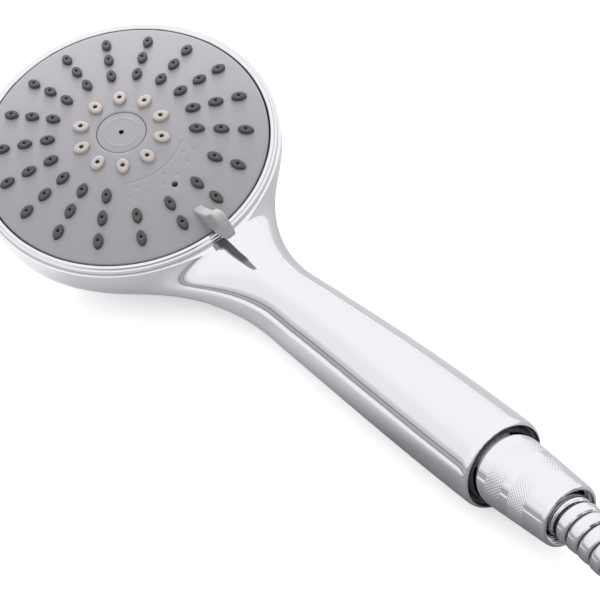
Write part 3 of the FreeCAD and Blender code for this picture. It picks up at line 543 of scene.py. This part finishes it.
def handle_shell():
    """Bowl and handle remeshed into one skin, smoothed, and then cut exactly."""
    bowl_v, bowl_f = lathe(bowl_profile(0, 14 * MM), 192, TO_FRAME)
    neck_v, neck_f = handle_form()
    shift = len(bowl_v)
    shell = solid("plated_shell", bowl_v + neck_v,
                  bowl_f + [tuple(i + shift for i in f) for f in neck_f])
    remesh = shell.modifiers.new("remesh", "REMESH")
    remesh.mode = "VOXEL"
    remesh.voxel_size = VOXEL
    baked(shell)
    seam = shell.vertex_groups.new(name="seam")
    for vertex in shell.data.vertices:
        at = (vertex.co.x - HEAD.x) / MM
        weight = min(1.0, max(0.0, (at - 8) / 16)) * min(1.0, max(0.0, (90 - at) / 22))
        if weight > 0:
            seam.add([vertex.index], weight, "REPLACE")
    for times, group in ((SEAM_SMOOTHING, "seam"), (SKIN_SMOOTHING, "")):
        smooth = shell.modifiers.new("smooth", "SMOOTH")
        smooth.factor = 0.5
        smooth.iterations = times
        smooth.vertex_group = group
    baked(shell)
    top = [(NEAR_AXIS, PARTING_Z), (BOWL_R + SADDLE_OUT * MM, PARTING_Z)]
    for i in range(1, 13):
        t = i / 12
        top.append((BOWL_R + (SADDLE_OUT + SADDLE_RUN * t) * MM,
                    PARTING_Z + (SADDLE_RISE * t + SADDLE_CURVE * t * t) * MM))
    top += [(top[-1][0], 60 * MM), (NEAR_AXIS, 60 * MM)]
    cut_out(shell, solid("above", *lathe(top, 192, TO_FRAME)))
    cut_out(shell, solid("hollow", *lathe(bowl_profile(BOWL_WALL, 30 * MM), 128, TO_FRAME)))
    mouth = [(NEAR_AXIS, -30 * MM), (WEB_HOLE_R, -30 * MM), (WEB_HOLE_R, -RECESS_DEPTH),
             (RECESS_R, -RECESS_DEPTH)]
    mouth += [(RECESS_R + out * MM, along * MM) for along, out in MOUTH_FLARE]
    mouth.append((NEAR_AXIS, MOUTH_FLARE[-1][0] * MM))
    place = (Matrix.Translation(Vector((MOUTH_X, 0, AXIS_Z)))
             @ Matrix.Rotation(math.pi / 2, 4, "Y"))
    cut_out(shell, solid("recess", *lathe(mouth, 128, place)))
    shell.data.shade_smooth()
    mark_sharp(shell.data, 40)
    shell.data.materials.clear()
    shell.data.materials.append(CHROME)
    shell.data.materials.append(MOUTH_GREY)
    for face in shell.data.polygons:
        off = math.hypot(face.center.y, face.center.z - AXIS_Z)
        if face.center.x > MOUTH_X - RECESS_DEPTH - 0.1 * MM and off < RECESS_R + 0.2 * MM:
            face.material_index = 1
    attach(shell, "handset")
    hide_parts("handle_shell")


def mark_sharp(mesh, degrees):
    """Sharp shading across edges that turn more than an angle."""
    work = bmesh.new()
    work.from_mesh(mesh)
    for edge in work.edges:
        if len(edge.link_faces) == 2 and edge.calc_face_angle(0) > math.radians(degrees):
            edge.smooth = False
    work.to_mesh(mesh)
    work.free()


# ---- pieces of the face ----
# Outline of the bezel, in mm, in head axes: its bead, the groove outside it, and its skirt.
BEZEL = [(49.8, -4.9), (49.8, -0.5), (50.2, 0.0), (51.15, 0.0), (51.5, -0.75), (51.75, -0.7),
         (52.05, -0.72), (52.3, -1.05), (52.3, -2.05), (50.9, -2.05), (50.9, -4.9), (49.8, -4.9)]
BEZEL_ROUND = 0.25 * MM


def bezel():
    outline = rounded([(x * MM, z * MM, 0) for x, z in BEZEL], BEZEL_ROUND)
    vertices, faces = lathe([(p[0], p[1]) for p in outline], 288, TO_FRAME)
    obj = piece("bezel_bead", vertices, faces, "handset")
    obj.data.materials.append(CHROME)
    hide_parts("bezel_ring")


LENS_ROUND = 0.5                # 0 is a pointed lens, and 1 an ellipse


def lens_point(length, width, share):
    """Point of a lens outline, at a share of the way round it."""
    a, b = length / 2, width / 2
    radius = (a * a + b * b) / (2 * b)
    half = math.asin(a / radius)
    side = 1 if share < 0.5 else -1
    turn = half * (1 - 4 * (share % 0.5))
    x, y = side * radius * math.sin(turn), side * (radius * math.cos(turn) - radius + b)
    angle = math.atan2(y * a, x * b)
    return (x + LENS_ROUND * (a * math.cos(angle) - x),
            y + LENS_ROUND * (b * math.sin(angle) - y))


# Share of the lens outline's size, and height over the face, in mm, from the foot to the hole.
TIP = [(1.0, -0.6), (1.0, 0.75), (0.985, 1.0), (0.94, 1.22), (0.85, 1.38), (0.72, 1.46),
       (0.55, 1.48)]
TIP_PROUD = 1.5                 # how far a tip of this outline stands out
SPOKES = 18
RING_RADII = [25.7, 33.85, 42.0]
SHORT_WITHIN = 40               # spokes this near the handle lack the innermost nozzle, degrees
LIGHT_NOZZLES = 10
LIGHT_R = 14.45
# Length, width, radius of the bore, and how far they stand out, in mm.
DARK_SIZE = (5.4, 3.3, 0.5, 1.5)
LIGHT_SIZE = (5.9, 4.4, 0.75, 1.3)


def nozzles(name, node, places, size, material):
    """Lens-shaped nozzles at each (radius, direction), their bores painted black as painted
    shade.
    """
    length, width, bore, proud = size
    around = 40
    vertices, faces, shaded_bore = [], [], []
    for radius, degrees in places:
        place = TO_FRAME @ Matrix.Rotation(math.radians(degrees), 4, "Z")
        base = face_height(radius)
        slope = -radius / SPHERE_R
        first = len(vertices)
        rows = [(share, height * proud / TIP_PROUD, 0.0) for share, height in TIP]
        rows += [(0.0, 1.46 * proud / TIP_PROUD, bore * 1.25),
                 (0.0, 1.3 * proud / TIP_PROUD, bore),
                 (0.0, -0.8, bore * 0.95), (0.0, -0.8, 0.001)]
        for share, height, round_r in rows:
            for i in range(around):
                angle = 2 * math.pi * i / around
                if share:
                    x, y = lens_point(length * share, width * share, i / around)
                else:
                    x, y = round_r * math.cos(angle), round_r * math.sin(angle)
                vertices.append(place @ (Vector((radius / MM + x, y, base / MM + height
                                                 + slope * x)) * MM))
        faces += ring_faces(len(rows), around, first)
        for row in range(len(rows) - 1):
            shaded_bore += [row >= len(rows) - 3] * around
    obj = piece(name, vertices, faces, "spray_face")
    obj.data.materials.append(material)
    obj.data.materials.append(RUBBER_AND_PAINTED_SHADE)
    # Painted shade: the bore's wall and floor take the black material.
    for face, deep in zip(obj.data.polygons, shaded_bore):
        face.material_index = 1 if deep else 0
    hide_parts(node)


def all_nozzles():
    dark = []
    for spoke in range(SPOKES):
        direction = 360 / SPOKES * (spoke + 0.5)
        beside = min(direction, 360 - direction) < SHORT_WITHIN
        dark += [(r * MM, direction) for r in (RING_RADII[1:] if beside else RING_RADII)]
    nozzles("dark_nozzles", "nozzle_mat", dark, DARK_SIZE, DARK_TIP)
    light = [(LIGHT_R * MM, 360 / LIGHT_NOZZLES * i) for i in range(LIGHT_NOZZLES)]
    nozzles("light_nozzles", "center_nozzle_ring", light, LIGHT_SIZE, LIGHT_TIP)


# ---- face plate and cap: sizes in mm ----
CAP_R = 8.5
PLATE_T = 2.0
PLATE_SKIRT = 1.7
PLATE_LOW = -6.8
GROOVE = (21.0, 37.0, 0.38, 0.20)           # radius, degrees each way, half width, depth
DIMPLE_GROUPS = (-26.0, 0.0, 26.0)
DIMPLES = ((23.3, 0.0), (26.3, 6.3), (26.3, -6.3))
DIMPLE = (0.60, 0.26)                       # half width and depth
VENT_AT = 28.6
VENT_R = 1.1
VENT_DISH = (2.2, 0.16)                     # radius and depth of the dish round the vent
PIN_R = 0.85
FINE_FROM, FINE_TO = 19.5, 31.5             # rows lie closer where the relief is
FINE_ROW, COARSE_ROW = 0.15, 0.8
RIDGE_R, RIDGE_HALF, RIDGE_HIGH = 5.9, 0.5, 0.10
CAP_DROP = 0.10                             # the cap lies under the dome by this
CAP_DEEP = 4.2
PIN_DEEP = 1.5


def relief(radius, degrees):
    """How far the plate's surface lies under its dome, in mm."""
    sink = 0.0
    middle, reach, width, depth = GROOVE
    if abs(degrees) < reach + 1 and abs(radius - middle) < 4 * width:
        fade = min(1.0, reach + 1 - abs(degrees))
        sink += depth * fade * math.exp(-((radius - middle) / width) ** 2)
    if not 20.0 < radius < 32.0 or abs(degrees) > 45:
        return sink
    x = radius * math.cos(math.radians(degrees))
    y = radius * math.sin(math.radians(degrees))
    half, deep = DIMPLE
    for group in DIMPLE_GROUPS:
        for at, offset in DIMPLES:
            angle = math.radians(group + offset)
            away = math.hypot(x - at * math.cos(angle), y - at * math.sin(angle))
            if away < 4 * half:
                sink += deep * math.exp(-(away / half) ** 2)
    away = math.hypot(x - VENT_AT, y)
    dish_r, dish = VENT_DISH
    if away < dish_r:
        sink += dish * (0.5 + 0.5 * math.cos(math.pi * away / dish_r))
    return sink


def turned_skin(name, outline, around):
    """Closed turned piece of the face. Rows of the outline that are marked follow the relief."""
    vertices = []
    for radius, height, top in outline:
        for i in range(around):
            degrees = 360.0 * i / around
            turn = math.radians(degrees)
            drop = relief(radius, (degrees + 180) % 360 - 180) if top else 0.0
            vertices.append(TO_FRAME @ (Vector((radius * math.cos(turn), radius * math.sin(turn),
                                                height - drop)) * MM))
    faces = []
    count = len(outline)
    for row in range(count):
        below = (row + 1) % count
        for i in range(around):
            j = (i + 1) % around
            faces.append((row * around + j, row * around + i, below * around + i,
                          below * around + j))
    obj = piece(name, vertices, faces, "spray_face")
    obj.data.materials.append(FACE_GREY)
    return obj


def dome(radius):
    """Height of the spray face at a radius, both in mm."""
    return face_height(radius * MM) / MM


def face_plate():
    hole_r = CAP_R + 0.12
    rim_r = FACE_R / MM
    outline = [(hole_r, dome(hole_r) - PLATE_T, False), (hole_r, dome(hole_r) - 0.35, False),
               (hole_r + 0.08, dome(hole_r) - 0.1, False)]
    radius = hole_r + 0.25
    while radius < rim_r - 0.3:
        outline.append((radius, dome(radius), True))
        radius += FINE_ROW if FINE_FROM < radius < FINE_TO else COARSE_ROW
    outline += [(rim_r - 0.25, dome(rim_r) - 0.02, False),
                (rim_r - 0.07, dome(rim_r) - 0.12, False),
                (rim_r, dome(rim_r) - 0.4, False), (rim_r, PLATE_LOW, False),
                (rim_r - PLATE_SKIRT, PLATE_LOW, False),
                (rim_r - PLATE_SKIRT, dome(rim_r) - PLATE_T, False)]
    inner = rim_r - 8
    while inner > hole_r + 1:
        outline.append((inner, dome(inner) - PLATE_T, False))
        inner -= 8
    plate = turned_skin("face_plate", outline, 900)
    vent = [(NEAR_AXIS, -1.5 * MM), (VENT_R * MM, -1.5 * MM), (VENT_R * MM, 2 * MM),
            (NEAR_AXIS, 2 * MM)]
    place = TO_FRAME @ Matrix.Translation(Vector((VENT_AT, 0, dome(VENT_AT))) * MM)
    cut_out(plate, solid("vent", *lathe(vent, 48, place)))
    plate.data.shade_smooth()
    mark_sharp(plate.data, 50)
    plate.data.materials.append(RUBBER_AND_PAINTED_SHADE)
    # Painted shade: the vent hole's lower faces take the black material.
    middle = TO_FRAME @ (Vector((VENT_AT, 0, dome(VENT_AT) - 0.9)) * MM)
    for face in plate.data.polygons:
        if (face.center - middle).length < 1.4 * MM and face.center.z < middle.z + 0.35 * MM:
            face.material_index = 1
    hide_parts("spray_plate")


def face_cap():
    around = 180
    outline = [(0.0001, dome(0) - PIN_DEEP, False), (PIN_R, dome(0) - PIN_DEEP, False),
               (PIN_R, dome(0) - 0.16, False), (PIN_R + 0.08, dome(0) - 0.05, False),
               (PIN_R + 0.25, dome(0) - 0.01, False)]
    radius = 1.4
    while radius < CAP_R - 0.5:
        ridge = RIDGE_HIGH * math.exp(-((radius - RIDGE_R) / RIDGE_HALF) ** 2)
        outline.append((radius, dome(radius) + ridge - CAP_DROP, False))
        radius += 0.2
    outline += [(CAP_R - 0.4, dome(CAP_R) - CAP_DROP, False),
                (CAP_R - 0.12, dome(CAP_R) - 0.2, False), (CAP_R, dome(CAP_R) - 0.5, False),
                (CAP_R, dome(CAP_R) - CAP_DEEP, False), (0.0001, dome(CAP_R) - CAP_DEEP, False)]
    cap = turned_skin("jet_cap", outline, around)
    cap.data.materials.append(RUBBER_AND_PAINTED_SHADE)
    for face in cap.data.polygons[:2 * around]:         # painted shade: the pinhole's floor and wall are black
        face.material_index = 1
    mark_sharp(cap.data, 50)
    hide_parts("center_cap")


# Side view of the lever, in head axes, in mm: its crest, and its underside back to the start.
LEVER_CREST = [(40.0, 2.6), (41.8, 3.4), (44.4, 4.9), (47.0, 6.5), (48.9, 8.6), (50.6, 10.9),
               (52.6, 12.1), (54.8, 11.9), (56.8, 10.0), (58.4, 7.5), (59.4, 5.4), (58.9, 4.5),
               (56.2, 3.0), (53.2, 1.5), (49.9, 0.6), (48.4, -0.5), (40.6, -0.5)]
LEVER_W = 3.8 * MM
LEVER_ROUND = 0.9 * MM


def lever():
    data = bpy.data.curves.new("lever_outline", "CURVE")
    data.dimensions = "2D"
    data.fill_mode = "BOTH"
    data.resolution_u = 8
    spline = data.splines.new("BEZIER")
    spline.bezier_points.add(len(LEVER_CREST) - 1)
    for point, (x, z) in zip(spline.bezier_points, LEVER_CREST):
        point.co = (x * MM, z * MM, 0)
        point.handle_left_type = point.handle_right_type = "AUTO"
    spline.use_cyclic_u = True
    data.extrude = LEVER_W / 2 - LEVER_ROUND
    data.bevel_depth = LEVER_ROUND
    data.bevel_resolution = 4
    data.offset = -LEVER_ROUND
    holder = bpy.data.objects.new("lever_outline", data)
    mesh = bpy.data.meshes.new_from_object(holder)
    bpy.data.objects.remove(holder)
    mesh.transform(TO_FRAME @ Matrix.Rotation(math.pi / 2, 4, "X"))
    mesh.shade_smooth()
    mesh.materials.clear()
    mesh.materials.append(LEVER_GREY)
    obj = bpy.data.objects.new("thumb_lever", mesh)
    bpy.context.scene.collection.objects.link(obj)
    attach(obj, "spray_face")
    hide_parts("selector_lever")


# ---- scene ----
# Brightness of the studio by the height of the direction. It isn't even: the handle's near side
# mirrors a darker wall with a thin dark line in it, and its far side a plain bright one.
NEAR_WALL = [(0.0, 0.50), (0.10, 0.66), (0.15, 0.70), (0.16, 0.22), (0.18, 0.22), (0.19, 0.80),
             (0.30, 1.00), (0.36, 1.33), (0.62, 1.36), (0.70, 1.46), (1.0, 1.50)]
FAR_WALL = [(0.0, 1.30), (0.10, 1.44), (0.5, 1.50), (1.0, 1.50)]
SKY_TOP = 2.0


def height_curve(tree, table, height):
    """Brightness as a share of SKY_TOP, along the height of a direction."""
    curve = tree.nodes.new("ShaderNodeFloatCurve")
    points = curve.mapping.curves[0].points
    for at, value in table[1:-1]:
        points.new(at, value / SKY_TOP)
    points[0].location = (0.0, table[0][1] / SKY_TOP)
    points[-1].location = (1.0, table[-1][1] / SKY_TOP)
    for point in points:
        point.handle_type = "VECTOR"
    curve.mapping.update()
    tree.links.new(height, curve.inputs["Value"])
    return curve.outputs["Value"]


def sky():
    world = bpy.data.worlds.new("studio")
    world.use_nodes = True
    tree = world.node_tree
    coord = tree.nodes.new("ShaderNodeTexCoord")
    split = tree.nodes.new("ShaderNodeSeparateXYZ")
    tree.links.new(coord.outputs["Generated"], split.inputs["Vector"])
    side = tree.nodes.new("ShaderNodeMapRange")
    side.interpolation_type = "SMOOTHSTEP"
    side.inputs["From Min"].default_value = -0.30
    side.inputs["From Max"].default_value = 0.10
    tree.links.new(split.outputs["Y"], side.inputs["Value"])
    blend = tree.nodes.new("ShaderNodeMix")
    tree.links.new(side.outputs["Result"], blend.inputs["Factor"])
    tree.links.new(height_curve(tree, NEAR_WALL, split.outputs["Z"]), blend.inputs["A"])
    tree.links.new(height_curve(tree, FAR_WALL, split.outputs["Z"]), blend.inputs["B"])
    full = tree.nodes.new("ShaderNodeMath")
    full.operation = "MULTIPLY"
    full.inputs[1].default_value = SKY_TOP
    tree.links.new(blend.outputs["Result"], full.inputs[0])
    background = tree.nodes["Background"]
    background.inputs["Color"].default_value = (0.985, 0.985, 1.0, 1)
    tree.links.new(full.outputs[0], background.inputs["Strength"])
    return world


def floor_material():
    """Plain white to the camera only. All other rays, and so the chrome's reflections, meet
    painted shade: a darker grey that is graded along X and Y, darkest towards +X on the -Y side."""
    mat = bpy.data.materials.new("floor_white_shaded_in_reflections")
    mat.use_nodes = True
    tree = mat.node_tree
    tree.nodes.clear()
    output = tree.nodes.new("ShaderNodeOutputMaterial")
    place = tree.nodes.new("ShaderNodeTexCoord")
    split = tree.nodes.new("ShaderNodeSeparateXYZ")
    tree.links.new(place.outputs["Object"], split.inputs["Vector"])
    side = tree.nodes.new("ShaderNodeMapRange")
    side.inputs["From Min"].default_value = -10 * MM
    side.inputs["From Max"].default_value = 30 * MM
    tree.links.new(split.outputs["Y"], side.inputs["Value"])
    along = tree.nodes.new("ShaderNodeMapRange")
    along.inputs["From Min"].default_value = -30 * MM
    along.inputs["From Max"].default_value = 60 * MM
    tree.links.new(split.outputs["X"], along.inputs["Value"])
    # Painted shade seen in the chrome: grey from 0.66 down to 0.26 along X on the -Y side, and
    # 0.42 towards +Y.
    near = tree.nodes.new("ShaderNodeMix")
    near.data_type = "RGBA"
    near.inputs["A"].default_value = (0.66, 0.66, 0.665, 1)
    near.inputs["B"].default_value = (0.26, 0.26, 0.265, 1)
    tree.links.new(along.outputs["Result"], near.inputs["Factor"])
    painted_floor_shade = tree.nodes.new("ShaderNodeMix")
    painted_floor_shade.data_type = "RGBA"
    painted_floor_shade.inputs["B"].default_value = (0.42, 0.42, 0.425, 1)
    tree.links.new(near.outputs["Result"], painted_floor_shade.inputs["A"])
    tree.links.new(side.outputs["Result"], painted_floor_shade.inputs["Factor"])
    shade_in_reflections = tree.nodes.new("ShaderNodeBsdfDiffuse")
    tree.links.new(painted_floor_shade.outputs["Result"], shade_in_reflections.inputs["Color"])
    paper = tree.nodes.new("ShaderNodeBsdfDiffuse")
    paper.inputs["Color"].default_value = (0.75, 0.75, 0.755, 1)
    glow = tree.nodes.new("ShaderNodeEmission")
    glow.inputs["Strength"].default_value = 0.35
    seen = tree.nodes.new("ShaderNodeAddShader")
    tree.links.new(paper.outputs[0], seen.inputs[0])
    tree.links.new(glow.outputs[0], seen.inputs[1])
    ray = tree.nodes.new("ShaderNodeLightPath")
    pick = tree.nodes.new("ShaderNodeMixShader")
    tree.links.new(ray.outputs["Is Camera Ray"], pick.inputs["Fac"])
    tree.links.new(shade_in_reflections.outputs[0], pick.inputs[1])
    tree.links.new(seen.outputs[0], pick.inputs[2])
    tree.links.new(pick.outputs[0], output.inputs["Surface"])
    return mat


# Camera, fitted to the rings of nozzles.
EYE = Vector((654.2, -269.1, 706.9)) * MM
FORWARD = Vector((-0.6600, 0.2746, -0.6992))
UP = Vector((-0.4573, 0.5914, 0.6641))
LENS = 181.7
FLOOR_HALF = 3.0
# Square lamps that aim at the origin and don't show in reflections: name, place, size, watts.
LAMPS = (("key", (-1.0, 0.9, 1.3), 1.1, 14.0), ("low", (-1.5, 1.2, 0.6), 0.6, 60.0),
         ("fill", (0.2, -1.3, 1.0), 0.8, 3.0))


def studio():
    scene = bpy.context.scene
    forward = FORWARD.normalized()
    right = forward.cross(UP).normalized()
    up = right.cross(forward)
    camera = bpy.data.objects.new("camera", bpy.data.cameras.new("camera"))
    camera.data.lens = LENS
    camera.data.sensor_width = 36.0
    camera.data.clip_end = 20.0
    camera.matrix_world = Matrix.Translation(EYE) @ Matrix(
        (right, up, -forward)).transposed().to_4x4()
    scene.collection.objects.link(camera)
    scene.camera = camera

    floor = bpy.data.meshes.new("floor")
    corners = [(-1, -1), (1, -1), (1, 1), (-1, 1)]
    floor.from_pydata([(x * FLOOR_HALF, y * FLOOR_HALF, 0) for x, y in corners],
                      [], [(0, 1, 2, 3)])
    floor_obj = bpy.data.objects.new("floor", floor)
    scene.collection.objects.link(floor_obj)
    floor.materials.append(floor_material())

    scene.world = sky()
    for name, place, size, power in LAMPS:
        data = bpy.data.lights.new(name, "AREA")
        data.size = size
        data.energy = power
        lamp = bpy.data.objects.new(name, data)
        lamp.visible_glossy = False
        lamp.location = place
        lamp.rotation_euler = (-Vector(place)).to_track_quat("-Z", "Y").to_euler()
        scene.collection.objects.link(lamp)
    scene.view_settings.view_transform = "Standard"


studio()
dress_cad()
hose()
cone_nut()
handle_shell()
bezel()
all_nozzles()
face_plate()
face_cap()
lever()
